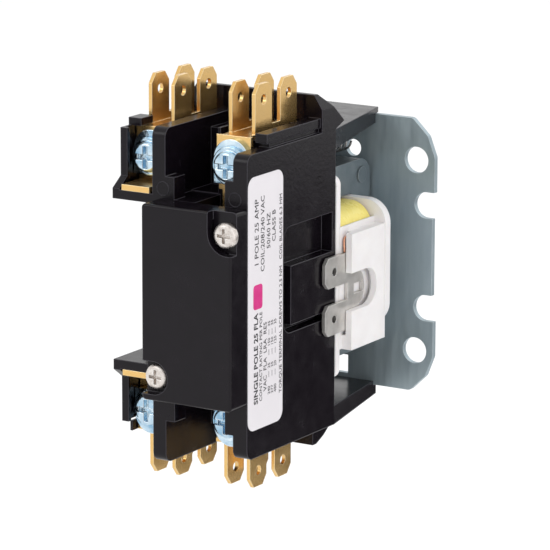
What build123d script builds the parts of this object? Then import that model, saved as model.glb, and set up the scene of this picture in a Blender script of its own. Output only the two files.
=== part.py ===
from build123d import *
import os

# Single-pole definite-purpose contactor on a sheet-steel mounting plate.
# Frame: X to the right, Y towards the mounting plate, Z up, in mm.
# The origin is the middle of the plate's back face.

# Mounting plate
plate_width = 49.1
plate_height = 58.4
plate_thickness = 1.2
plate_corner_x = 5.4
plate_corner_z = 7.9
plate_corner_bulge = 1.0
plate_edge_relief = 0.45
mount_hole_diameter = 5.6
mount_pitch_x = 40.4
mount_pitch_z = 40.8
edge_slot_width = 5.6
edge_slot_depth = 4.7
edge_slot_pitch = 22.0
centre_hole_diameter = 3.6
centre_hole_x = 5.0
centre_hole_z = 21.5
lug_slot_width = 8.0
lug_slot_height = 4.0
lug_slot_z = -25.5

# Housing
housing_width = 31.8
housing_front = -61.0
housing_back = -27.0
wall_top = 30.7
wall_bottom = -31.3
right_wall = 3.3
left_wall = 1.6
left_wall_setback = 3.0
left_wall_gusset = 2.3
wall_corner_radius = 2.0
barrier_clearance = 0.675
barrier_thickness = 3.05
barrier_top = 34.3
barrier_bottom = -34.4
slot_clearance = 0.825
slot_depth = 17.0
cover_seat_half = 20.0
recess_depth = 12.0
deck_top = 31.9
deck_bottom = -29.8
ridge_front = -52.8
ridge_rise_top = 1.7
ridge_rise_bottom = 0.9
ridge_width = 2.7
ridge_inset = 0.5
middle_ridge_width = 0.6
left_ridge_width = 1.45
left_lug_front = -55.0
left_lug_width = 3.0
left_lug_rise = 2.5
rear_wall_front = -32.4
rear_wall_rise = 6.4
leg_thickness_front = 4.1
leg_thickness_back = 3.1
leg_half_width_back = 9.9
leg_overhang = 0.5
leg_drop_top = 1.2
leg_drop_bottom = 2.3

# Poles, terminals and screws
pole_pitch = 19.05
pole_shift = -1.6
load_tab_shift = -1.1
terminal_front = -52.5
terminal_thickness = 1.2
terminal_width = 8.0
terminal_end_gap = 1.5
terminal_inner = 21.4
terminal_tongue_end = 8.0
tongue_width = 4.8
terminal_flange_top = 21.9
terminal_flange_bottom = -17.5
shelf_thickness = 1.9
lip_inset = 2.2
rivet_radius = 1.0
bridge_shift = -0.725
screw_z_top = 26.8
screw_z_bottom = -25.6
screw_head_diameter = 8.0
screw_head_height = 2.2
screw_rim = 0.8
screw_dome_diameter = 6.3
screw_shank_diameter = 4.0
screw_shank_length = 9.0
washer_width = 8.2
washer_arch_rise = 1.2
washer_drop = 3.9
washer_thickness = 1.0
fit_clearance = 0.05

# Quick-connect tabs
tab_width = 6.35
tab_thickness = 0.8
tab_pitch = 9.53
tab_front = -50.2
tab_channel_width = 6.2
tab_rise = 10.75
tab_hole_diameter = 2.0
tab_hole_from_tip = 3.3
coil_tab_hole_diameter = 1.7

# Front cover
cover_lap = 1.25
cover_front = -67.1
cover_wall = 1.8
cover_ear_recess = 2.2
cover_screw_x = 13.7
cover_screw_inset = 2.7
cover_screw_z = 15.3
cover_screw_head_diameter = 5.2
cover_screw_head_height = 1.5
cover_screw_shank = 3.0

# Magnet, coil and moving parts
core_half_height = 20.3
core_stack = 18.8
core_back = -1.9
core_yoke = 7.5
core_leg = 6.7
core_face = -28.0
flange_overhang = 3.0
flange_height = 26.8
flange_thickness = 2.0
flange_corner_radius = 5.0
frame_overhang = 0.2
frame_top = 20.8
frame_bottom = -21.8
frame_thickness = 1.6
coil_block_z = -3.5
coil_block_height = 24.4
coil_block_depth = 13.2
coil_block_width = 2.7
coil_rim_rise = 1.3
coil_tab_root = -21.8
winding_inset = 0.5
winding_height = 25.0
winding_corner_radius = 4.8
tape_thickness = 0.4
coil_tab_inset = 0.4
coil_tab_reach = 11.0
armature_travel = 3.4
armature_thickness = 6.0
spring_x = 2.6
spring_z = 22.9
spring_outer_diameter = 4.4
spring_wire = 0.5
contact_gap = 3.0
button_diameter = 4.0
button_z = 10.6
button_height = 1.0
bridge_thickness = 0.9
bridge_width = 4.0
bridge_half_length = 13.4
carrier_post = 1.25
carrier_half_height = 5.4
carrier_cap = 1.2
carrier_base = 2.1
contact_spring_length = 3.6
running_clearance = 0.35

# Label
label_front = -60.8
label_width = 13.2
label_height = 51.6
label_z = 0.3
label_thickness = 0.08

half_width = housing_width / 2
pole_x = {"shunt": pole_shift - pole_pitch / 2, "switched": pole_shift + pole_pitch / 2}
bay_width = max(washer_width, screw_head_diameter)
barrier_left = pole_x["shunt"] + bay_width / 2 + barrier_clearance
barrier_right = barrier_left + barrier_thickness
slot_right = pole_x["switched"] - bay_width / 2 - slot_clearance
bridge_x = pole_x["switched"] + bridge_shift
cover_left = barrier_left + cover_lap
cover_screw_left_x = cover_left + cover_screw_inset
flange_width = housing_width + 2 * flange_overhang
frame_width = housing_width + 2 * frame_overhang
coil_block_inner = half_width
coil_block_face = coil_block_inner + coil_block_width
coil_tab_inner = coil_block_inner + coil_tab_inset
winding_width = 2 * (coil_block_inner - winding_inset)
plate_front = -plate_thickness
terminal_back = terminal_front + terminal_thickness
apron_front = terminal_front - tab_thickness
washer_front = apron_front - washer_thickness
armature_back = core_face - armature_travel - 0.05
armature_front = armature_back - armature_thickness
frame_front = housing_back + 0.1
frame_back = frame_front + frame_thickness
yoke_front = core_back - core_yoke
flange_front = yoke_front - 0.2 - flange_thickness
block_front = flange_front - coil_block_depth
seat_bottom = -cover_seat_half


def block(x0, x1, y0, y1, z0, z1):
    size = (abs(x1 - x0), abs(y1 - y0), abs(z1 - z0))
    middle = ((x0 + x1) / 2, (y0 + y1) / 2, (z0 + z1) / 2)
    return Pos(*middle) * Box(*size)


def rod_y(x, z, radius, y0, y1):
    return Pos(x, (y0 + y1) / 2, z) * Rot(90, 0, 0) * Cylinder(radius, abs(y1 - y0))


def rod_x(y, z, radius, x0, x1):
    return Pos((x0 + x1) / 2, y, z) * Rot(0, 90, 0) * Cylinder(radius, abs(x1 - x0))


def side_profile(points, x0, x1):
    outline = make_face(Polyline(*[(x0, y, z) for y, z in points], close=True))
    return extrude(outline, amount=x1 - x0, dir=(1, 0, 0))


def front_profile(points, y0, y1):
    outline = make_face(Polyline(*[(x, y0, z) for x, z in points], close=True))
    return extrude(outline, amount=y1 - y0, dir=(0, 1, 0))


def rounded_plate(width, height, radius, y0, y1, z=0.0):
    outline = Plane.XZ * RectangleRounded(width, height, radius)
    return Pos(0, y0, z) * extrude(outline, amount=y1 - y0, dir=(0, 1, 0))


def tab_centre(pole, side):
    if side < 0 and pole == "switched":
        return pole_x[pole] + load_tab_shift
    return pole_x[pole]


def rounded_wall(x0, x1, y0, y1, z0, z1):
    shape = block(x0, x1, y0, y1, z0, z1)
    return fillet(shape.edges().filter_by(Axis.X).sort_by(Axis.Y)[0:2], wall_corner_radius)


def base_plate():
    half = plate_width / 2
    top = plate_height / 2
    mid_x = half - plate_corner_x / 2 + plate_corner_bulge
    mid_z = top - plate_corner_z / 2 + plate_corner_bulge * 0.4
    quarter = [(half - plate_corner_x, top), (mid_x, mid_z), (half, top - plate_corner_z)]
    outline = quarter + [(x, -z) for x, z in reversed(quarter)]
    outline += [(-x, -z) for x, z in quarter] + [(-x, z) for x, z in reversed(quarter)]
    plate = front_profile(outline, plate_front, 0)
    plate = fillet(plate.edges().filter_by(Axis.Y), 1.5)
    slot_end = plate_width / 2 - edge_slot_depth + edge_slot_width / 2
    for side in (-1, 1):
        for level in (-1, 1):
            x = side * mount_pitch_x / 2
            z = level * mount_pitch_z / 2
            plate -= rod_y(x, z, mount_hole_diameter / 2, plate_front - 1, 1)
            z = level * edge_slot_pitch / 2
            plate -= rod_y(side * slot_end, z, edge_slot_width / 2, plate_front - 1, 1)
            half = edge_slot_width / 2
            plate -= block(side * slot_end, side * plate_width, plate_front - 1, 1, z - half, z + half)
        x = side * (plate_width / 2 - plate_edge_relief)
        half = edge_slot_pitch / 2
        plate -= block(x, side * plate_width, plate_front - 1, 1, -half, half)
        radius = centre_hole_diameter / 2
        plate -= rod_y(side * centre_hole_x, side * centre_hole_z, radius, plate_front - 1, 1)
    half = lug_slot_width / 2
    low = lug_slot_z - lug_slot_height / 2
    plate -= block(-half, half, plate_front - 1, 1, low, low + lug_slot_height)
    return plate


def terminal_flange(level):
    return terminal_flange_top if level > 0 else terminal_flange_bottom


def level_values(level):
    if level > 0:
        return deck_top, screw_z_top
    return deck_bottom, screw_z_bottom


def walls():
    shape = block(-half_width, half_width, rear_wall_front, housing_back, wall_bottom, wall_top)
    inner = half_width - right_wall
    shape += rounded_wall(inner, half_width, housing_front, housing_back, wall_bottom, wall_top)
    shape += left_wall_part(1, deck_top + 0.9) + left_wall_part(-1, deck_bottom + 1.8)
    back = rear_wall_front
    shape += rounded_wall(barrier_left, barrier_right, housing_front, back, barrier_bottom, barrier_top)
    shape += block(cover_left, half_width, housing_front, housing_back, seat_bottom, cover_seat_half)
    recess_back = housing_front + recess_depth
    shape += block(-half_width, cover_left, recess_back, housing_back, seat_bottom, cover_seat_half)
    return shape


def left_wall_part(level, outer):
    shelf = terminal_flange(level) - level * terminal_thickness
    under = shelf - level * shelf_thickness
    front = housing_front + left_wall_setback
    outline = [(housing_back, under), (housing_front, under), (housing_front, shelf + level * 0.2)]
    outline += [(front, shelf + level * left_wall_gusset), (front, outer), (housing_back, outer)]
    return side_profile(outline, -half_width, left_wall - half_width)


def shelves():
    top = terminal_flange_top - terminal_thickness
    shape = block(-half_width, barrier_left, housing_front, terminal_back, top - shelf_thickness, top)
    low = terminal_flange_bottom + terminal_thickness
    shape += block(-half_width, barrier_left, housing_front, terminal_back, low, low + shelf_thickness)
    return shape


def decks():
    shape = block(-half_width, half_width, terminal_back, housing_back, cover_seat_half, deck_top)
    shape += block(-half_width, half_width, terminal_back, housing_back, deck_bottom, seat_bottom)
    notch = 0.9
    for side in (-1, 1):
        edge = side * half_width
        shape -= block(edge - side * notch, edge + side, -80, housing_back, wall_top, deck_top + 5)
    return shape


def ridges():
    outer = half_width - ridge_inset
    places = ((-half_width, left_ridge_width, terminal_back), (slot_right, middle_ridge_width, terminal_back))
    places += ((outer - ridge_width, ridge_width, ridge_front),)
    shape = None
    for x, width, front in places:
        ridge = block(x, x + width, front, housing_back, deck_top - 0.2, deck_top + ridge_rise_top)
        low = deck_bottom - ridge_rise_bottom
        ridge += block(x, x + width, terminal_back, housing_back, low, deck_bottom + 0.2)
        shape = ridge if shape is None else shape + ridge
    top = deck_top + left_lug_rise
    inner = pole_x["shunt"] - bay_width / 2 - 0.15
    lug = block(-half_width, inner, left_lug_front, terminal_back + 0.1, deck_top - 0.2, top)
    under = deck_top + tab_thickness + 0.15
    lug += block(-half_width, left_lug_width - half_width, left_lug_front, tab_front - 0.5, under, top)
    low = deck_bottom - ridge_rise_bottom
    lug += block(-half_width, inner, left_lug_front, terminal_back + 0.1, low, deck_bottom + 1.2)
    return shape + lug


def rear_wedges():
    top = deck_top + rear_wall_rise
    back = housing_back
    profile = [(rear_wall_front, deck_top - 2), (rear_wall_front, top), (rear_wall_front + 1.2, top)]
    profile += [(back + 3.4, wall_top + 1.3), (back, wall_top), (back, deck_top - 2.5)]
    shape = side_profile(profile, -half_width, half_width)
    corner = half_width - 1.9
    for side in (-1, 1):
        wedge = [(side * corner, top + 1), (side * (half_width + 1), top + 1)]
        wedge += [(side * (half_width + 1), top - 4.4), (side * half_width, top - 2.9), (side * corner, top)]
        shape -= front_profile(wedge, rear_wall_front - 1, back + 5)
    low = wall_bottom - 3.0
    profile = [(back - 7.0, wall_bottom + 2), (back - 7.0, low), (back - 5.6, low)]
    profile += [(back - 2.8, low + 1.2), (back, wall_bottom), (back, wall_bottom + 2)]
    shape += side_profile(profile, -half_width + 0.9, half_width - 0.9)
    return shape


def legs():
    start = housing_back - 1
    back = leg_overhang
    outline = [(-half_width, start), (half_width, start), (half_width, housing_back)]
    outline += [(leg_half_width_back, back), (-leg_half_width_back, back), (-half_width, housing_back)]
    shape = None
    hook = plate_height / 2 + 0.1
    stop = plate_front - 0.05
    for level, outer in ((1, wall_top), (-1, wall_bottom)):
        drop = leg_drop_top if level > 0 else leg_drop_bottom
        end = level * (plate_height / 2 + drop)
        inner = outer - level * leg_thickness_front
        inner_end = end - level * leg_thickness_back
        profile = [(start, inner), (start, outer), (back, end), (back, level * hook)]
        profile += [(stop, level * hook), (stop, inner_end)]
        face = make_face(Polyline(*[(x, y, -50) for x, y in outline], close=True))
        leg = extrude(face, amount=100, dir=(0, 0, 1)) & side_profile(profile, -20, 20)
        shape = leg if shape is None else shape + leg
    return shape


def locating_posts():
    depth = 2.2
    back = housing_front + depth
    inner = half_width - right_wall
    shape = block(barrier_right, barrier_right + 2.1, housing_front, back + 1.8, cover_seat_half, 24.6)
    shape += block(barrier_right, barrier_right + 2.1, housing_front, back + 1.8, -25.6, seat_bottom)
    shape += block(inner - 1.9, inner, housing_front, back, cover_seat_half, 25.3)
    shape += block(inner - 1.9, inner, housing_front, back, -26.4, seat_bottom)
    return shape


def terminal_bays():
    cut = None
    for level in (-1, 1):
        deck, screw_z = level_values(level)
        near = level * (cover_seat_half + 0.4)
        far = deck + level * 6
        x = pole_x["switched"]
        half = bay_width / 2 + 0.3
        front = housing_front + 2.5
        bay = block(x - half, x + half, front, terminal_back, near, deck)
        bay += block(slot_right + 1.9, half_width - right_wall, housing_front - 1, front, near, far)
        x = pole_x["shunt"]
        half = bay_width / 2 + 0.1
        near = terminal_flange(level) - level * terminal_thickness
        front = housing_front + left_wall_setback + 0.9
        bay += block(x - half, barrier_left, front, terminal_back, near, deck + level * 1.5)
        cut = bay if cut is None else cut + bay
    return cut


def housing_openings():
    inner = half_width - right_wall
    left = slot_right + 0.5
    cut = block(left, inner, housing_front - 1, terminal_back, seat_bottom - 0.5, cover_seat_half + 0.5)
    chamber_front = armature_front - carrier_base - 0.6
    chamber_x = core_stack / 2 + 2.2
    chamber_z = spring_z + spring_outer_diameter / 2 + 0.4
    cut += block(-chamber_x, chamber_x, chamber_front, housing_back + 1, -chamber_z, chamber_z)
    half = bridge_width / 2 + carrier_post + running_clearance
    rise = carrier_half_height + running_clearance
    cut += block(bridge_x - half, bridge_x + half, housing_front, chamber_front + 1, -rise, rise)
    for level in (-1, 1):
        deck, screw_z = level_values(level)
        slot_back = housing_front + slot_depth
        near = level * (cover_seat_half + 0.2)
        cut += block(barrier_right, slot_right, housing_front - 1, slot_back, near, deck + level * 9)
        for pole in pole_x:
            bore = screw_shank_diameter / 2 + 0.4
            bore_end = washer_front + screw_shank_length + 0.5
            cut += rod_y(pole_x[pole], screw_z, bore, terminal_back - 1, bore_end)
    x = pole_x["shunt"]
    half = tongue_width / 2 + 0.2
    strap_back = terminal_back + terminal_thickness + 0.1
    cut += block(x - half, x + half, terminal_back - 0.1, strap_back, -25, 25)
    return cut


def side_pocket():
    depth = 2.6
    front = housing_front + 13.9
    low = -8.2
    high = 13.7
    rear = housing_back - 1.2
    floor = half_width - depth
    shape = block(floor, half_width + 1, front, rear, low, high)
    shape = fillet(shape.edges().filter_by(Axis.X).sort_by(Axis.Y)[0:2], 2.5)
    boss = block(floor - 0.5, half_width, front + 2.7, rear + 0.2, low + 1.5, low + 13.7)
    return shape, boss


def housing():
    shape = walls() + shelves() + decks() + rear_wedges()
    shape -= terminal_bays()
    shape -= housing_openings()
    shape += locating_posts() + legs() + ridges()
    pocket, boss = side_pocket()
    shape -= pocket
    shape += boss
    engagement = 6.0
    pilot = cover_screw_shank / 2 + fit_clearance
    for x, z in cover_screw_places():
        post = rod_y(x, z, cover_screw_shank / 2 + 1.4, housing_front, housing_front + engagement)
        limit = block(cover_left, half_width, housing_front, housing_front + engagement, -20, 20)
        shape += post & limit
        shape -= rod_y(x, z, pilot, housing_front - 1, housing_front + engagement)
    return shape


def cover_screw_places():
    return ((cover_screw_x, cover_screw_z), (cover_screw_left_x, -cover_screw_z))


def front_cover():
    half = cover_seat_half
    shape = block(cover_left, half_width, cover_front, housing_front, -half, half)
    edges = shape.edges().filter_by(Axis.Y).sort_by(Axis.X)
    shape = fillet(edges, 0.8)
    front_edges = shape.faces().sort_by(Axis.Y)[0].edges()
    shape = fillet(front_edges, 0.5)
    wall = cover_wall
    left = cover_left + wall
    inside = block(left, half_width - wall, cover_front + wall, housing_front + 1, wall - half, half - wall)
    ear_front = cover_front + cover_ear_recess
    right, left = cover_screw_places()
    ear_left = right[0] - 3.25
    ear_low = right[1] - 3.8
    inside -= block(ear_left - wall, half_width, ear_front, housing_front + 1, ear_low - wall, half)
    pad_right = left[0] + 3.4
    pad_top = left[1] + 3.4
    inside -= block(cover_left, pad_right + wall, ear_front, housing_front + 1, -half, pad_top + wall)
    shape -= inside
    round_radius = 4.4
    notch = block(ear_left, half_width + 1, cover_front - 1, ear_front, ear_low + round_radius, half + 1)
    notch += block(ear_left + round_radius, half_width + 1, cover_front - 1, ear_front, ear_low, half + 1)
    notch += rod_y(ear_left + round_radius, ear_low + round_radius, round_radius, cover_front - 1, ear_front)
    notch += rod_y(left[0], left[1], 3.4, cover_front - 1, ear_front)
    notch += block(cover_left - 1, left[0], cover_front - 1, ear_front, left[1] - 3.4, pad_top)
    shape -= notch
    for x, z in cover_screw_places():
        shape -= rod_y(x, z, cover_screw_shank / 2 + 0.15, cover_front - 1, housing_front + 1)
    return shape


def cross_recess(x, z, front, length, width, depth):
    cut = block(x - length / 2, x + length / 2, front - 1, front + depth, z - width / 2, z + width / 2)
    cut += block(x - width / 2, x + width / 2, front - 1, front + depth, z - length / 2, z + length / 2)
    return cut


def cover_screws():
    screws = []
    seat = cover_front + cover_ear_recess
    height = cover_screw_head_height
    length = 9.6
    for x, z in cover_screw_places():
        head = rod_y(x, z, cover_screw_head_diameter / 2, seat - height, seat)
        head = fillet(head.edges().sort_by(Axis.Y)[0], 0.9)
        screw = head + rod_y(x, z, cover_screw_shank / 2, seat - 0.1, seat + length)
        screws.append(screw - cross_recess(x, z, seat - height, 3.0, 0.7, 1.1))
    return screws


def screw_stack(pole, level):
    deck, screw_z = level_values(level)
    return pole_x[pole], screw_z, deck


def terminal_screws():
    screws = []
    for pole in pole_x:
        for level in (-1, 1):
            x, z, deck = screw_stack(pole, level)
            front = washer_front - screw_head_height
            rim = rod_y(x, z, screw_head_diameter / 2, washer_front - screw_rim, washer_front)
            rim = fillet(rim.edges().sort_by(Axis.Y)[0], 0.3)
            dome = rod_y(x, z, screw_dome_diameter / 2, front, washer_front - screw_rim + 0.1)
            head = rim + fillet(dome.edges().sort_by(Axis.Y)[0], 0.8)
            shank_end = washer_front + screw_shank_length
            shank = rod_y(x, z, screw_shank_diameter / 2, washer_front - 0.1, shank_end)
            cut = cross_recess(x, z, front, 4.6, 1.1, 1.4)
            cut += block(x - 5, x + 5, front - 1, front + 0.9, z - 0.55, z + 0.55)
            screws.append(head + shank - cut)
    return screws


def clamp_washers():
    washers = []
    hole = screw_shank_diameter / 2 + 0.15
    for pole in pole_x:
        for level in (-1, 1):
            x, z, deck = screw_stack(pole, level)
            arch = z + level * washer_arch_rise
            near = z - level * washer_drop
            half = washer_width / 2
            plate = block(x - half, x + half, washer_front, apron_front, near, arch)
            plate += rod_y(x, arch, half, washer_front, apron_front)
            washers.append(plate - rod_y(x, z, hole, washer_front - 1, apron_front + 1))
    return washers


def terminal_plate(pole, level):
    x, z, deck = screw_stack(pole, level)
    half = terminal_width / 2
    outer = deck - level * terminal_end_gap
    flange = terminal_flange(level)
    inner = flange - level * terminal_thickness if pole == "shunt" else level * terminal_inner
    plate = block(x - half, x + half, terminal_front, terminal_back, inner, outer)
    if pole == "shunt":
        lip_front = housing_front - 0.02
        lip_left = lip_inset - half_width
        plate += block(lip_left, x + half, lip_front, terminal_back, inner, flange)
        plate -= rod_y(x, rivet_z(level), rivet_radius + 0.02, terminal_front - 1, terminal_back + 1)
    else:
        left = bridge_x - tongue_width / 2
        right = bridge_x + tongue_width / 2
        end = level * terminal_tongue_end
        plate += block(left, right, terminal_front, terminal_back, end, inner + level)
    bore = screw_shank_diameter / 2 + fit_clearance
    return plate - rod_y(x, z, bore, terminal_front - 1, terminal_back + 1)


def rivet_z(level):
    return terminal_flange(level) + level * (rivet_radius + 0.4)


def shunt_strap():
    x = pole_x["shunt"]
    half = tongue_width / 2
    top = rivet_z(1) + 1.5
    low = rivet_z(-1) - 1.5
    back = terminal_back + terminal_thickness
    strap = block(x - half, x + half, terminal_back, back, low, top)
    for level in (-1, 1):
        strap -= rod_y(x, rivet_z(level), rivet_radius + 0.02, terminal_back - 1, back + 1)
    return strap


def shunt_rivets():
    rivets = []
    x = pole_x["shunt"]
    back = terminal_back + terminal_thickness
    for level in (-1, 1):
        rivets.append(rod_y(x, rivet_z(level), rivet_radius, terminal_front, back))
    return rivets


def tab_outline(y0, base, tip, level):
    step = level * 1.9
    points = [(y0, base), (y0, tip - step), (y0 + 1.5, tip)]
    points += [(y0 + tab_width - 1.5, tip), (y0 + tab_width, tip - step), (y0 + tab_width, base)]
    return points


def quick_connect(pole, level):
    x, screw_height, deck = screw_stack(pole, level)
    floor = deck + level * tab_thickness
    tip = deck + level * tab_rise
    back = tab_front + tab_pitch + tab_width
    half = tab_channel_width / 2
    inner = screw_height - level * 3.7
    bore = rod_y(x, screw_height, screw_shank_diameter / 2 + 0.2, apron_front - 1, terminal_front + 1)
    apron = terminal_width / 2
    shape = block(x - apron, x + apron, apron_front, terminal_front, inner, floor) - bore
    x = tab_centre(pole, level)
    shape += block(x - half, x + half, apron_front, back, deck, floor)
    for side in (-1, 1):
        inside = x + side * (half - tab_thickness)
        outside = x + side * half
        x0 = min(inside, outside)
        wall = block(x0, x0 + tab_thickness, tab_front, back, deck, floor + level * 1.4)
        for i in range(2):
            y0 = tab_front + i * tab_pitch
            tab = side_profile(tab_outline(y0, deck, tip, level), x0, x0 + tab_thickness)
            middle = y0 + tab_width / 2
            hole = rod_x(middle, tip - level * tab_hole_from_tip, tab_hole_diameter / 2, x0 - 1, x0 + 2)
            wall += tab - hole
        shape += wall
    return shape


def fixed_contacts():
    x = bridge_x
    radius = button_diameter / 2
    front = terminal_front - button_height
    return [rod_y(x, level * button_z, radius, front, terminal_front) for level in (-1, 1)]


def bridge_front():
    return terminal_front - 2 * button_height - contact_gap - bridge_thickness


def contact_bridge():
    front = bridge_front()
    half = bridge_width / 2
    length = bridge_half_length
    return block(bridge_x - half, bridge_x + half, front, front + bridge_thickness, -length, length)


def moving_contacts():
    back = bridge_front() + bridge_thickness
    radius = button_diameter / 2
    return [rod_y(bridge_x, level * button_z, radius, back, back + button_height) for level in (-1, 1)]


def contact_carrier():
    half = bridge_width / 2 + carrier_post
    seat = bridge_front() + bridge_thickness
    window_front = bridge_front() - contact_spring_length
    cap_front = window_front - carrier_cap
    base_front = armature_front - carrier_base
    rise = carrier_half_height
    shape = block(bridge_x - half, bridge_x + half, cap_front, base_front + 1, -rise, rise)
    window = bridge_width / 2 + fit_clearance
    shape -= block(bridge_x - window, bridge_x + window, window_front, seat, -rise - 1, rise + 1)
    shape += block(-9.0, 10.9, base_front, armature_front, -12, 12)
    arm = spring_outer_diameter / 2 + 0.2
    for side in (-1, 1):
        x = side * spring_x
        z = side * (spring_z + arm)
        shape += block(x - arm, x + arm, base_front, armature_front, side * 11, z)
    for x, z in armature_rivet_places():
        shape -= rod_y(x, z, 1.2 + 0.02, base_front - 1, armature_front + 1)
    return shape


def armature_rivet_places():
    return ((0.0, 9.0), (0.0, -9.0))


def armature():
    half = core_stack / 2
    height = core_half_height - 0.7
    shape = block(-half, half, armature_front, armature_back, -height, height)
    corners = shape.edges().filter_by(Axis.X).sort_by(Axis.Y)[0:2]
    shape = fillet(corners, 1.5)
    for x, z in armature_rivet_places():
        shape -= rod_y(x, z, 1.2 + 0.02, armature_front - 1, armature_back - 1.5)
    return shape


def armature_rivets():
    rivets = []
    base_front = armature_front - carrier_base
    for x, z in armature_rivet_places():
        head = rod_y(x, z, 2.0, base_front - 0.5, base_front)
        rivets.append(head + rod_y(x, z, 1.2, base_front - 0.1, armature_back - 1.6))
    return rivets


def coil_spring(x, z, y0, y1, outer, wire, turns):
    radius = (outer - wire) / 2
    length = y1 - y0 - wire
    pitch = length / turns
    path = Helix(pitch=pitch, height=length, radius=radius)
    section = (path ^ 0) * Circle(wire / 2)
    coil = sweep(section, path=path, is_frenet=True)
    return Pos(x, y0 + wire / 2, z) * Rot(-90, 0, 0) * coil


def return_springs():
    wire = spring_wire
    front = armature_front
    return [
        coil_spring(side * spring_x, side * spring_z, front, plate_front, spring_outer_diameter, wire, 18)
        for side in (-1, 1)
    ]


def contact_spring():
    front = bridge_front() - contact_spring_length
    return coil_spring(bridge_x, 0, front, bridge_front(), bridge_width - 0.2, 0.4, 4)


def magnet_core():
    half = core_stack / 2
    height = core_half_height
    shape = block(-half, half, core_face, core_back, -height, height)
    corners = shape.edges().filter_by(Axis.X).sort_by(Axis.Y)[-2:]
    shape = fillet(corners, 4.0)
    window = height - core_leg
    for level in (-1, 1):
        shape -= block(-20, 20, core_face - 1, yoke_front, level * core_leg, level * window)
        groove = level * (window + 2.9)
        shape -= block(-20, 20, core_face - 1, core_face + 1.5, groove, groove + level)
    for y, z in core_rivet_places():
        shape -= rod_x(y, z, 1.2 + 0.02, -20, 20)
    return shape


def core_rivet_places():
    z = core_half_height - core_leg / 2
    y = core_back - core_yoke / 2
    return ((y, z), (y, -z), (core_face + 6.0, z), (core_face + 6.0, -z))


def core_rivets():
    half = core_stack / 2
    rivets = []
    for y, z in core_rivet_places():
        rivet = rod_x(y, z, 1.2, -half, half)
        rivet += rod_x(y, z, 1.7, -half - 0.4, -half)
        rivets.append(rivet + rod_x(y, z, 1.7, half, half + 0.4))
    return rivets


def shading_rings():
    rings = []
    inner_x = core_stack / 2
    outer_x = inner_x + 0.7
    front = core_face + 0.05
    back = core_face + 1.0
    window = core_half_height - core_leg
    for level in (-1, 1):
        groove = level * (window + 2.9)
        top = level * (core_half_height + 0.35)
        ring = block(-outer_x, outer_x, front, back, groove + level * 0.05, top)
        hole = block(-inner_x, inner_x, front - 1, back + 1, groove + level * 0.95, level * core_half_height)
        rings.append(ring - hole)
    return rings


def core_cushion():
    half = core_stack / 2 - 0.5
    height = core_half_height - 4.5
    pad = block(-half, half, core_back, plate_front, -height, height)
    return pad


def bobbin():
    back = flange_front + flange_thickness
    flange = rounded_plate(flange_width, flange_height, flange_corner_radius, flange_front, back)
    frame = block(-frame_width / 2, frame_width / 2, frame_front, frame_back, frame_bottom, frame_top)
    frame = fillet(frame.edges().filter_by(Axis.Y), 2.0)
    gap = 0.2
    hub_x = core_stack / 2 + gap
    hub_z = core_leg + gap
    hub = block(-hub_x - 1, hub_x + 1, frame_back - 0.5, flange_front + 0.5, -hub_z - 1, hub_z + 1)
    shape = flange + frame + hub
    shape -= block(-hub_x, hub_x, frame_front - 1, yoke_front, -hub_z, hub_z)
    window = core_half_height - core_leg - gap
    for level in (-1, 1):
        shape -= block(-hub_x, hub_x, frame_front - 1, frame_back + 1, level * window, level * 40)
    for side in (-1, 1):
        shape += terminal_housing(side)
    return shape


def terminal_housing(side):
    low = coil_block_z - coil_block_height / 2
    high = low + coil_block_height
    inner = coil_block_inner
    back = flange_front + 0.5
    shape = block(side * inner, side * coil_block_face, block_front, back, low, high)
    slit_in = coil_tab_inner - 0.08
    slit_out = coil_tab_inner + tab_thickness + 0.08
    shape += block(side * inner, side * slit_in, frame_back - 0.5, back, low, high + coil_rim_rise)
    slit_half = 9.2
    slit_back = coil_tab_root + 8.2
    z = coil_block_z
    cut = block(side * slit_in, side * slit_out, block_front - 1, slit_back, z - slit_half, z + slit_half)
    cut += block(side * slit_in, side * slit_out, block_front - 1, block_front + 2.2, z, high + 1)
    arch = 4.0
    middle = coil_tab_root + 3.2
    cut += block(side * slit_in, side * 30, block_front - 1, middle, z - arch, z + arch)
    cut += rod_x(middle, z, arch, side * slit_in, side * 30)
    return shape - cut


def winding():
    length_front = frame_back + 0.1
    length_back = flange_front - 0.1
    outer = rounded_plate(winding_width, winding_height, winding_corner_radius, length_front, length_back)
    gap = 1.35
    hub_x = core_stack / 2 + gap
    hub_z = core_leg + gap
    return outer - block(-hub_x, hub_x, length_front - 1, length_back + 1, -hub_z, hub_z)


def coil_tape():
    length_front = frame_back + 0.4
    length_back = flange_front - 0.4
    width = winding_width + 2 * tape_thickness
    height = winding_height + 2 * tape_thickness
    radius = winding_corner_radius + tape_thickness
    outer = rounded_plate(width, height, radius, length_front, length_back)
    width = winding_width + 0.1
    height = winding_height + 0.1
    radius = winding_corner_radius + 0.05
    return outer - rounded_plate(width, height, radius, length_front - 1, length_back + 1)


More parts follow.
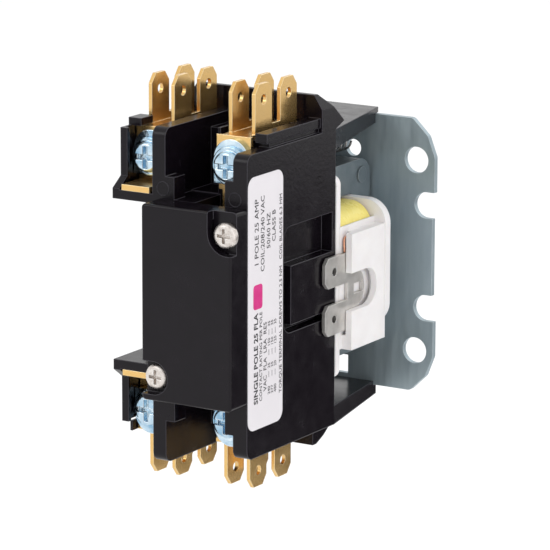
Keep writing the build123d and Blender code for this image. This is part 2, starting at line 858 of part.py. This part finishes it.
def coil_terminals():
    plates = []
    root = coil_tab_root
    tip = root - coil_tab_reach
    spread = 9.95 / 2
    for side in (-1, 1):
        x0 = coil_tab_inner if side > 0 else -coil_tab_inner - tab_thickness
        x1 = x0 + tab_thickness
        plate = block(x0, x1, root - 2.0, root, coil_block_z - 8.1, coil_block_z + 8.1)
        plate += rod_x(root, coil_block_z, 4.6, x0, x1)
        plate -= block(x0 - 1, x1 + 1, root - 6, root - 2.0, coil_block_z - 2, coil_block_z + 2)
        plate -= block(x0 - 1, x1 + 1, root + 0.4, root + 4.1, coil_block_z - 1.1, coil_block_z + 1.1)
        for level in (-1, 1):
            middle = coil_block_z + level * spread
            half = tab_width / 2
            points = [(root, middle - half), (tip + 1.2, middle - half), (tip, middle - half + 1.2)]
            points += [(tip, middle + half - 1.2), (tip + 1.2, middle + half), (root, middle + half)]
            tab = side_profile(points, x0, x1)
            tab -= rod_x(tip + 3.6, middle, coil_tab_hole_diameter / 2, x0 - 1, x1 + 1)
            plate += tab
        plates.append(plate)
    return plates


def coil_leads():
    leads = []
    top = coil_block_z + coil_block_height / 2
    middle = coil_tab_inner + tab_thickness / 2
    y = block_front + 0.2
    for side in (-1, 1):
        points = [(side * middle, y, coil_block_z + 8.3), (side * (middle + 0.05), y - 0.2, top - 2.6)]
        points += [(side * (middle - 0.1), y + 0.2, top - 1.2), (side * (middle - 0.1), y + 1.5, top - 1.1)]
        path = Spline(*points)
        leads.append(sweep((path ^ 0) * Circle(0.22), path=path))
    return leads


def rating_label():
    outline = Plane.YZ * RectangleRounded(label_width, label_height, 2.2)
    return Pos(half_width, label_front + label_width / 2, label_z) * extrude(outline, amount=label_thickness)


def level_name(level):
    return "line" if level > 0 else "load"


os.makedirs("parts", exist_ok=True)
export_step(base_plate(), "parts/base_plate.step")
export_step(housing(), "parts/housing.step")
export_step(front_cover(), "parts/front_cover.step")
export_step(Compound(children=cover_screws()), "parts/cover_screws.step")
export_step(Compound(children=terminal_screws()), "parts/terminal_screws.step")
export_step(Compound(children=clamp_washers()), "parts/clamp_washers.step")
for pole in pole_x:
    for level in (1, -1):
        name = level_name(level) + "_" + pole
        export_step(terminal_plate(pole, level), "parts/terminal_plate_" + name + ".step")
        export_step(quick_connect(pole, level), "parts/quick_connect_" + name + ".step")
export_step(shunt_strap(), "parts/shunt_strap.step")
export_step(Compound(children=shunt_rivets()), "parts/shunt_rivets.step")
export_step(Compound(children=fixed_contacts()), "parts/fixed_contacts.step")
export_step(contact_bridge(), "parts/contact_bridge.step")
export_step(Compound(children=moving_contacts()), "parts/moving_contacts.step")
export_step(contact_carrier(), "parts/contact_carrier.step")
export_step(armature(), "parts/armature.step")
export_step(Compound(children=armature_rivets()), "parts/armature_rivets.step")
export_step(Compound(children=return_springs()), "parts/return_springs.step")
export_step(contact_spring(), "parts/contact_spring.step")
export_step(magnet_core(), "parts/magnet_core.step")
export_step(Compound(children=core_rivets()), "parts/core_rivets.step")
export_step(Compound(children=shading_rings()), "parts/shading_rings.step")
export_step(core_cushion(), "parts/core_cushion.step")
export_step(bobbin(), "parts/bobbin.step")
export_step(winding(), "parts/winding.step")
export_step(coil_tape(), "parts/coil_tape.step")
export_step(Compound(children=coil_terminals()), "parts/coil_terminals.step")
export_step(Compound(children=coil_leads()), "parts/coil_leads.step")
export_step(rating_label(), "parts/rating_label.step")
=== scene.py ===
import math
import bmesh
import bpy
from mathutils import Matrix, Vector


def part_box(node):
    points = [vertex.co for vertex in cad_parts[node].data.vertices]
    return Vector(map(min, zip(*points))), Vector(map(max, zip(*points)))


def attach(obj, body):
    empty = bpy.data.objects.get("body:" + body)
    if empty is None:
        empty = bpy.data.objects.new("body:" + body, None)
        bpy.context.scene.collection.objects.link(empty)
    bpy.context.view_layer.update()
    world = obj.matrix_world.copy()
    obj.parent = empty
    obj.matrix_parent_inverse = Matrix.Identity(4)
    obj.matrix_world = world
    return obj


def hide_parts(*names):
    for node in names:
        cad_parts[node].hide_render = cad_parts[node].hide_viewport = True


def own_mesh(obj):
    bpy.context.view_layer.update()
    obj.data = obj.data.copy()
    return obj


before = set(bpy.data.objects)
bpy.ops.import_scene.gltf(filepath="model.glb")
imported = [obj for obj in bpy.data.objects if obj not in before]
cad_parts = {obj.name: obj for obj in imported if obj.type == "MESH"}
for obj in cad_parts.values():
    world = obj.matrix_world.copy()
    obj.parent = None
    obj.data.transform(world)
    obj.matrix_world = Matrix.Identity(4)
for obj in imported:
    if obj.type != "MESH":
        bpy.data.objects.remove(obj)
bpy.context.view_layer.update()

# Camera: a long lens from the right and a little above, as for a catalogue picture.
# It stands about 0.85 m from the middle of the contactor.
azimuth, elevation, roll = math.radians(31.477), math.radians(12.844), math.radians(0.167)
camera_data = bpy.data.cameras.new("camera")
camera_data.lens = 261.9
camera_data.sensor_width = 36.0
camera = bpy.data.objects.new("camera", camera_data)
camera.location = (0.42197, -0.71374, 0.18214)
turn = Matrix.Rotation(azimuth, 3, "Z") @ Matrix.Rotation(math.radians(90) - elevation, 3, "X")
camera.rotation_euler = (turn @ Matrix.Rotation(roll, 3, "Z")).to_euler()
bpy.context.scene.collection.objects.link(camera)
bpy.context.scene.camera = camera

# Studio: a pale floor well below the blades, white surroundings and three soft lamps.
# The lamps stand high on the left, low on the right and behind, so that black edges read.
floor_level = -0.115
bm = bmesh.new()
bmesh.ops.create_grid(bm, x_segments=1, y_segments=1, size=6.0)
bmesh.ops.translate(bm, verts=bm.verts, vec=(0, 0, floor_level))
floor_mesh = bpy.data.meshes.new("floor")
bm.to_mesh(floor_mesh)
bm.free()
floor = bpy.data.objects.new("floor", floor_mesh)
bpy.context.scene.collection.objects.link(floor)
paper = bpy.data.materials.new("floor_paper")
paper.use_nodes = True
paper_shader = paper.node_tree.nodes["Principled BSDF"]
paper_shader.inputs["Base Color"].default_value = (0.97, 0.97, 0.97, 1)
paper_shader.inputs["Roughness"].default_value = 0.95
floor_mesh.materials.append(paper)

# Felt: a black cloth lying on the floor behind on the right, out of view. The right side of
# the body mirrors it, which keeps the glossy plastic black there.
bm = bmesh.new()
bmesh.ops.create_grid(bm, x_segments=1, y_segments=1, size=0.5)
card_turn = Matrix.Rotation(math.radians(-30.7), 4, "Z") @ Matrix.Diagonal((0.5, 0.48, 1.0, 1.0))
bmesh.ops.transform(bm, verts=bm.verts, matrix=card_turn)
bmesh.ops.translate(bm, verts=bm.verts, vec=(0.253, 0.366, floor_level + 0.001))
card_mesh = bpy.data.meshes.new("flag")
bm.to_mesh(card_mesh)
bm.free()
card = bpy.data.objects.new("flag", card_mesh)
bpy.context.scene.collection.objects.link(card)
felt = bpy.data.materials.new("black_felt")
felt.use_nodes = True
felt_shader = felt.node_tree.nodes["Principled BSDF"]
felt_shader.inputs["Base Color"].default_value = (0.06, 0.058, 0.062, 1)
felt_shader.inputs["Roughness"].default_value = 1.0
felt_shader.inputs["Specular IOR Level"].default_value = 0.0
card_mesh.materials.append(felt)

world = bpy.data.worlds.new("studio")
bpy.context.scene.world = world
world.use_nodes = True
world.node_tree.nodes["Background"].inputs["Color"].default_value = (1, 1, 1, 1)
world.node_tree.nodes["Background"].inputs["Strength"].default_value = 1.0


def softbox(name, place, target, width, height, watts):
    lamp = bpy.data.lights.new(name, "AREA")
    lamp.shape = "RECTANGLE"
    lamp.size = width
    lamp.size_y = height
    lamp.energy = watts
    lamp_object = bpy.data.objects.new(name, lamp)
    lamp_object.location = place
    aim = Vector(target) - Vector(place)
    lamp_object.rotation_euler = aim.to_track_quat("-Z", "Y").to_euler()
    bpy.context.scene.collection.objects.link(lamp_object)


middle = (0, -0.035, 0)
softbox("key_lamp", (-0.45, -0.75, 0.55), middle, 0.4, 0.4, 1.2)
softbox("side_lamp", (0.85, -0.35, 0.25), middle, 0.3, 0.7, 0.8)
softbox("rim_lamp", (0.2, 0.7, 0.6), middle, 0.8, 0.4, 1.0)
bpy.context.scene.view_settings.view_transform = "Standard"


# Body and cover: two mouldings of black thermoset, glossy on the flats, with a painted highlight paler along
# the edges and the fine orange peel of the mould. The cover is screwed on at two corners.
def grained(name, dark, light, grain, stretch, metallic, shine, bump_depth, edge, painted_edge_highlight_colour):
    """A finish with a mottled colour, an uneven gloss, fine bumps, rounded edges and a painted highlight along the
    edges.
    """
    finish = bpy.data.materials.new(name)
    finish.use_nodes = True
    tree = finish.node_tree
    shader = tree.nodes["Principled BSDF"]
    shader.inputs["Metallic"].default_value = metallic

    def node(kind, **values):
        made = tree.nodes.new(kind)
        for key, value in values.items():
            setattr(made, key, value)
        return made

    place = node("ShaderNodeTexCoord")
    mapping = node("ShaderNodeMapping")
    mapping.inputs["Scale"].default_value = stretch
    tree.links.new(place.outputs["Object"], mapping.inputs["Vector"])
    mottle = node("ShaderNodeTexNoise")
    mottle.inputs["Scale"].default_value = grain
    mottle.inputs["Detail"].default_value = 6.0
    mottle.inputs["Roughness"].default_value = 0.6
    tree.links.new(mapping.outputs["Vector"], mottle.inputs["Vector"])
    ramp = node("ShaderNodeValToRGB")
    ramp.color_ramp.elements[0].position = 0.3
    ramp.color_ramp.elements[0].color = (*dark, 1)
    ramp.color_ramp.elements[1].position = 0.7
    ramp.color_ramp.elements[1].color = (*light, 1)
    tree.links.new(mottle.outputs["Fac"], ramp.inputs["Fac"])

    rounding = node("ShaderNodeBevel", samples=8)
    rounding.inputs["Radius"].default_value = edge
    flat = node("ShaderNodeNewGeometry")
    turn_away = node("ShaderNodeVectorMath", operation="DOT_PRODUCT")
    tree.links.new(rounding.outputs["Normal"], turn_away.inputs[0])
    tree.links.new(flat.outputs["Normal"], turn_away.inputs[1])
    # Painted highlight: where the bevelled normal turns away from the face, the base colour is mixed towards the
    # paler edge colour, standing in for thin bright highlights along the edges.
    painted_edge_highlight_mask = node("ShaderNodeMapRange")
    painted_edge_highlight_mask.inputs["From Min"].default_value = 0.995
    painted_edge_highlight_mask.inputs["From Max"].default_value = 0.90
    tree.links.new(turn_away.outputs["Value"], painted_edge_highlight_mask.inputs["Value"])
    blend = node("ShaderNodeMix", data_type="RGBA")
    tree.links.new(painted_edge_highlight_mask.outputs["Result"], blend.inputs[0])
    tree.links.new(ramp.outputs["Color"], blend.inputs[6])
    blend.inputs[7].default_value = (*painted_edge_highlight_colour, 1)
    tree.links.new(blend.outputs[2], shader.inputs["Base Color"])

    gloss = node("ShaderNodeMapRange")
    gloss.inputs["From Min"].default_value = 0.3
    gloss.inputs["From Max"].default_value = 0.7
    gloss.inputs["To Min"].default_value = shine[0]
    gloss.inputs["To Max"].default_value = shine[1]
    tree.links.new(mottle.outputs["Fac"], gloss.inputs["Value"])
    tree.links.new(gloss.outputs["Result"], shader.inputs["Roughness"])

    fine = node("ShaderNodeTexNoise")
    fine.inputs["Scale"].default_value = grain * 5
    fine.inputs["Detail"].default_value = 4.0
    tree.links.new(mapping.outputs["Vector"], fine.inputs["Vector"])
    bump = node("ShaderNodeBump")
    bump.inputs["Strength"].default_value = bump_depth
    bump.inputs["Distance"].default_value = 0.0002
    tree.links.new(fine.outputs["Fac"], bump.inputs["Height"])
    tree.links.new(rounding.outputs["Normal"], bump.inputs["Normal"])
    tree.links.new(bump.outputs["Normal"], shader.inputs["Normal"])
    return finish


def coat(finish, *names):
    for name in names:
        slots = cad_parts[name].data.materials
        slots.clear()
        slots.append(finish)


black = grained("black_moulding", (0.0050, 0.0036, 0.0056), (0.0072, 0.0052, 0.0080), 260, (1, 1, 1), 0.0,
                (0.17, 0.28), 0.10, 0.00028, (0.060, 0.056, 0.068))
black.node_tree.nodes["Principled BSDF"].inputs["Specular IOR Level"].default_value = 0.21
coat(black, "housing", "front_cover", "contact_carrier")

# Mounting plate: 1.2 mm sheet steel, blanked and pierced, with a blue-grey zinc finish.
# The rolling direction shows as long faint streaks up the plate.
zinc_plate = grained("zinc_plate", (0.33, 0.405, 0.445), (0.40, 0.475, 0.51), 420, (3.0, 1.0, 0.35), 0.72,
                     (0.42, 0.60), 0.08, 0.0001, (0.60, 0.65, 0.68))
coat(zinc_plate, "base_plate")

# Terminals, blades and shunt: rolled brass, cut and folded in one piece per terminal.
# The blades stand in rows of two on a channel that the terminal screw clamps down.
brass = grained("rolled_brass", (0.76, 0.48, 0.165), (0.82, 0.55, 0.23), 90, (1, 1, 3), 0.88,
                (0.19, 0.27), 0.02, 0.00015, (0.94, 0.80, 0.52))
for row in ("line", "load"):
    for pole in ("shunt", "switched"):
        coat(brass, "quick_connect_" + row + "_" + pole, "terminal_plate_" + row + "_" + pole)
coat(brass, "shunt_strap", "shunt_rivets")

# Terminal screws and clamps: steel with a blue-passivated zinc plating, bright and uneven.
blue_zinc = grained("blue_zinc", (0.20, 0.40, 0.58), (0.72, 0.84, 0.91), 330, (1, 1, 1), 0.97,
                    (0.08, 0.22), 0.30, 0.0003, (0.84, 0.91, 0.95))
coat(blue_zinc, "terminal_screws", "clamp_washers")

# Cover screws: small nickel-plated pan heads with a crossed recess, scuffed by the driver.
nickel = grained("nickel_plate", (0.52, 0.46, 0.42), (0.86, 0.82, 0.78), 1100, (1, 1, 1), 0.9,
                 (0.22, 0.42), 0.30, 0.0002, (0.95, 0.93, 0.90))
coat(nickel, "cover_screws")

# Contacts and their bridge: silver buttons riveted to copper strips inside the body.
silver = grained("contact_silver", (0.70, 0.69, 0.66), (0.85, 0.84, 0.82), 800, (1, 1, 1), 1.0,
                 (0.25, 0.4), 0.1, 0.0001, (0.9, 0.9, 0.88))
coat(silver, "fixed_contacts", "moving_contacts")
copper = grained("bare_copper", (0.62, 0.27, 0.16), (0.80, 0.42, 0.28), 700, (1, 1, 1), 0.9,
                 (0.25, 0.4), 0.1, 0.0001, (0.85, 0.5, 0.36))
coat(copper, "contact_bridge", "shading_rings", "coil_leads", "winding")

# Magnet: stacks of stamped steel sheets, riveted through, with an oiled grey surface.
# The stack runs across X, so the sheet edges show as fine lines on the top and front faces.
steel = grained("magnet_steel", (0.17, 0.205, 0.225), (0.235, 0.27, 0.29), 380, (1, 1, 1), 0.65,
                (0.40, 0.58), 0.15, 0.00015, (0.34, 0.37, 0.39))
coat(steel, "core_rivets", "armature_rivets")
stack = grained("magnet_stack", (0.17, 0.205, 0.225), (0.235, 0.27, 0.29), 380, (1, 1, 1), 0.65,
                (0.40, 0.58), 0.15, 0.00015, (0.34, 0.37, 0.39))
tree = stack.node_tree
sheets = tree.nodes.new("ShaderNodeTexWave")
sheets.bands_direction = "X"
sheets.inputs["Scale"].default_value = 314.0
sheets.inputs["Distortion"].default_value = 0.15
seat = tree.nodes.new("ShaderNodeTexCoord")
tree.links.new(seat.outputs["Object"], sheets.inputs["Vector"])
grooves = tree.nodes.new("ShaderNodeBump")
grooves.inputs["Strength"].default_value = 0.5
grooves.inputs["Distance"].default_value = 0.0001
shader = tree.nodes["Principled BSDF"]
tree.links.new(sheets.outputs["Fac"], grooves.inputs["Height"])
tree.links.new(shader.inputs["Normal"].links[0].from_socket, grooves.inputs["Normal"])
tree.links.new(grooves.outputs["Normal"], shader.inputs["Normal"])
coat(stack, "magnet_core", "armature")
spring_wire = grained("spring_wire", (0.30, 0.29, 0.28), (0.52, 0.51, 0.50), 900, (1, 1, 1), 1.0,
                      (0.25, 0.38), 0.1, 0.00005, (0.6, 0.6, 0.6))


def wound_spring(name, node, places, front, back, radius, wire, turns, body):
    """Open-wound compression springs along Y, in one mesh that stands for the CAD node."""
    bm = bmesh.new()
    steps, sides = turns * 28, 8
    for x, z in places:
        rings = []
        for i in range(steps + 1):
            share = i / steps
            angle = 2 * math.pi * turns * share
            outward = Vector((math.cos(angle), 0, math.sin(angle)))
            y = front + wire + (back - front - 2 * wire) * share
            centre = Vector((x, y, z)) + outward * radius
            rings.append([bm.verts.new(centre + wire * (outward * math.cos(a) + Vector((0, math.sin(a), 0))))
                          for a in (2 * math.pi * k / sides for k in range(sides))])
        for one, two in zip(rings, rings[1:]):
            for k in range(sides):
                bm.faces.new((one[k], one[(k + 1) % sides], two[(k + 1) % sides], two[k]))
        bm.faces.new(rings[0])
        bm.faces.new(rings[-1])
    bmesh.ops.recalc_face_normals(bm, faces=bm.faces)
    mesh = bpy.data.meshes.new(name)
    bm.to_mesh(mesh)
    bm.free()
    for face in mesh.polygons:
        face.use_smooth = True
    spring = bpy.data.objects.new(name, mesh)
    bpy.context.scene.collection.objects.link(spring)
    mesh.materials.append(spring_wire)
    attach(spring, body)
    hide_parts(node)
    return spring


# Return springs: two steel wire springs between the carrier's arms and the mounting plate.
# The real springs shorten by the 3.4 mm travel of the armature; this mesh keeps its length, with its rear ends on
# the plate.
low, high = Vector(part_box("return_springs")[0]), Vector(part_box("return_springs")[1])
spring_front, spring_back = low.y, high.y
return_places = ((0.0026, 0.0229), (-0.0026, -0.0229))
open_springs = wound_spring("open_springs", "return_springs", return_places, spring_front, spring_back,
                            0.00195, 0.00025, 18, "frame")
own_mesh(open_springs)

# Contact spring: a short steel wire spring between the carrier's window and the bridge.
# It travels with the carrier; the mesh keeps its length and does not give way by the bridge's over-travel.
low, high = Vector(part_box("contact_spring")[0]), Vector(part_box("contact_spring")[1])
middle_x = (low.x + high.x) / 2
over_spring = wound_spring("over_spring", "contact_spring", ((middle_x, 0.0),), low.y, high.y,
                           0.0017, 0.0002, 4, "armature_carrier")
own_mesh(over_spring)
cushion = grained("cushion_rubber", (0.012, 0.012, 0.012), (0.02, 0.02, 0.02), 500, (1, 1, 1), 0.0,
                  (0.6, 0.8), 0.3, 0.0001, (0.03, 0.03, 0.03))
coat(cushion, "core_cushion")

# Bobbin: white glass-filled nylon, moulded with its rims and terminal blocks in one piece.
nylon = grained("white_nylon", (0.83, 0.80, 0.80), (0.88, 0.86, 0.86), 220, (1, 1, 1), 0.0,
                (0.38, 0.52), 0.08, 0.0003, (0.88, 0.87, 0.85))
nylon_shader = nylon.node_tree.nodes["Principled BSDF"]
nylon_shader.inputs["Subsurface Weight"].default_value = 0.15
nylon_shader.inputs["Subsurface Radius"].default_value = (0.001, 0.0008, 0.0006)
coat(nylon, "bobbin")

# Coil tape: one turn of yellow polyester film over the winding, slightly wrinkled.
tape = grained("yellow_film", (0.95, 0.80, 0.20), (0.98, 0.87, 0.28), 160, (1, 1, 1), 0.0,
               (0.22, 0.36), 0.25, 0.0002, (0.80, 0.72, 0.30))
coat(tape, "coil_tape")

# Coil terminals: tinned brass, stamped with two blades and a half-round root each.
tin = grained("tin_plate", (0.60, 0.58, 0.55), (0.72, 0.70, 0.67), 500, (1, 1, 1), 0.85,
              (0.30, 0.44), 0.15, 0.00015, (0.72, 0.71, 0.69))
coat(tin, "coil_terminals")

# Rating label: white vinyl stuck on the right side wall, with rounded corners.
vinyl = grained("label_vinyl", (0.77, 0.74, 0.77), (0.81, 0.78, 0.81), 90, (1, 1, 1), 0.0,
                (0.35, 0.45), 0.04, 0.0001, (0.88, 0.88, 0.9))
coat(vinyl, "rating_label")

# Label print: black ink and one magenta mark on the vinyl, read from the foot of the body
# upwards. It is one thin mesh for each ink, 0.02 mm proud of the label.
ink_black = grained("label_ink", (0.012, 0.012, 0.014), (0.03, 0.03, 0.034), 900, (1, 1, 1), 0.0,
                    (0.45, 0.6), 0.05, 0.00002, (0.04, 0.04, 0.045))
ink_magenta = grained("label_magenta", (0.62, 0.02, 0.20), (0.70, 0.04, 0.26), 700, (1, 1, 1), 0.0,
                      (0.4, 0.5), 0.05, 0.00002, (0.72, 0.08, 0.3))
label_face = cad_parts["rating_label"].bound_box[6][0] + 0.00002
label_edge = -0.0608


def lettering(target, words, height, start, across, bold=0.0):
    """Adds words to a mesh: they start at a level on the label and run upwards."""
    curve = bpy.data.curves.new("words", "FONT")
    curve.body = words
    curve.size = height * 1.38
    curve.offset = bold
    curve.resolution_u = 2
    curve.extrude = 0.000015
    holder = bpy.data.objects.new("words", curve)
    bpy.context.scene.collection.objects.link(holder)
    bpy.context.view_layer.update()
    flat = bpy.data.meshes.new_from_object(holder)
    swap = Matrix(((0, 0, 1, label_face), (0, -1, 0, label_edge + across), (1, 0, 0, start), (0, 0, 0, 1)))
    flat.transform(swap)
    target.from_mesh(flat)
    bpy.data.objects.remove(holder)
    bpy.data.meshes.remove(flat)
    bpy.data.curves.remove(curve)


def bar(target, start, end, low, high):
    """Adds a thin printed bar between two levels and two distances from the front edge."""
    made = bmesh.ops.create_cube(target, size=1.0)
    size = Matrix.Diagonal((0.00003, high - low, end - start, 1))
    centre = (label_face, label_edge + (low + high) / 2, (start + end) / 2)
    bmesh.ops.transform(target, verts=made["verts"], matrix=Matrix.Translation(centre) @ size)


def finished(name, bm, finish):
    bmesh.ops.recalc_face_normals(bm, faces=bm.faces)
    mesh = bpy.data.meshes.new(name)
    bm.to_mesh(mesh)
    bm.free()
    piece = bpy.data.objects.new(name, mesh)
    bpy.context.scene.collection.objects.link(piece)
    mesh.materials.append(finish)
    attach(piece, "frame")
    return piece


print_black = bmesh.new()
for words, height, start, across, bold in (
    ("1 POLE 25 AMP", 0.00150, 0.0078, 0.0039, 0.0),
    ("COIL:208/240 VAC", 0.00140, 0.0064, 0.0061, 0.0),
    ("50/60 HZ", 0.00135, 0.0107, 0.0083, 0.0),
    ("CLASS B", 0.00130, 0.0118, 0.0103, 0.0),
    ("SINGLE POLE 25 FLA", 0.00150, -0.0203, 0.0037, 0.00004),
    ("CONTACT RATING PER POLE", 0.00100, -0.0200, 0.0053, 0.0),
    ("VAC  FLA  LRA  RES", 0.00120, -0.0182, 0.0070, 0.0),
    ("TORQUE TERMINAL SCREWS TO 2.5 NM   COIL BLADES 6.3 MM", 0.00105, -0.0198, 0.0128, 0.0),
):
    lettering(print_black, words, height, start, across, bold)
levels = (-0.0192, -0.0138, -0.0093, -0.0052)
for row, values in enumerate((("240", "25", "150", "35"), ("277", "25", "150", "35"), ("480", "20", "125", "35"))):
    across = 0.0083 + 0.0012 * row
    for level, value in zip(levels, values):
        lettering(print_black, value, 0.00085, level, across)
    for level in levels[1:]:
        bar(print_black, level - 0.0018, level - 0.0006, across - 0.00045, across - 0.00036)
label_print = finished("label_print", print_black, ink_black)

mark = bmesh.new()
bmesh.ops.create_cube(mark, size=1.0)
size = Matrix.Diagonal((0.00003, 0.0034, 0.0050, 1))
bmesh.ops.transform(mark, verts=mark.verts,
                    matrix=Matrix.Translation((label_face, label_edge + 0.00370, 0.00165)) @ size)
upright = [edge for edge in mark.edges if abs(edge.verts[0].co.x - edge.verts[1].co.x) > 0.00002]
bmesh.ops.bevel(mark, geom=upright, offset=0.0007, offset_type="OFFSET", segments=5, profile=0.5,
                affect="EDGES", material=-1)
finished("label_mark", mark, ink_magenta)

# Ejector marks: shallow rings left by the mould's round pins on the body's front faces.
# Each is a low torus of the same black plastic, let half into the face.
marks = bmesh.new()
for x, z in ((-0.00383, 0.02208), (0.01305, 0.02162)):
    bead = bmesh.new()
    rim = [bead.verts.new((0.0014 + 0.00012 * math.cos(a), 0.00009 * math.sin(a), 0))
           for a in (2 * math.pi * k / 8 for k in range(8))]
    edges = [bead.edges.new((rim[k], rim[(k + 1) % 8])) for k in range(8)]
    bmesh.ops.spin(bead, geom=edges, cent=(0, 0, 0), axis=(0, 1, 0), angle=2 * math.pi, steps=40,
                   use_merge=True)
    bmesh.ops.translate(bead, verts=bead.verts, vec=(x, -0.0610, z))
    ring = bpy.data.meshes.new("ring")
    bead.to_mesh(ring)
    bead.free()
    marks.from_mesh(ring)
    bpy.data.meshes.remove(ring)
finished("ejector_marks", marks, black)
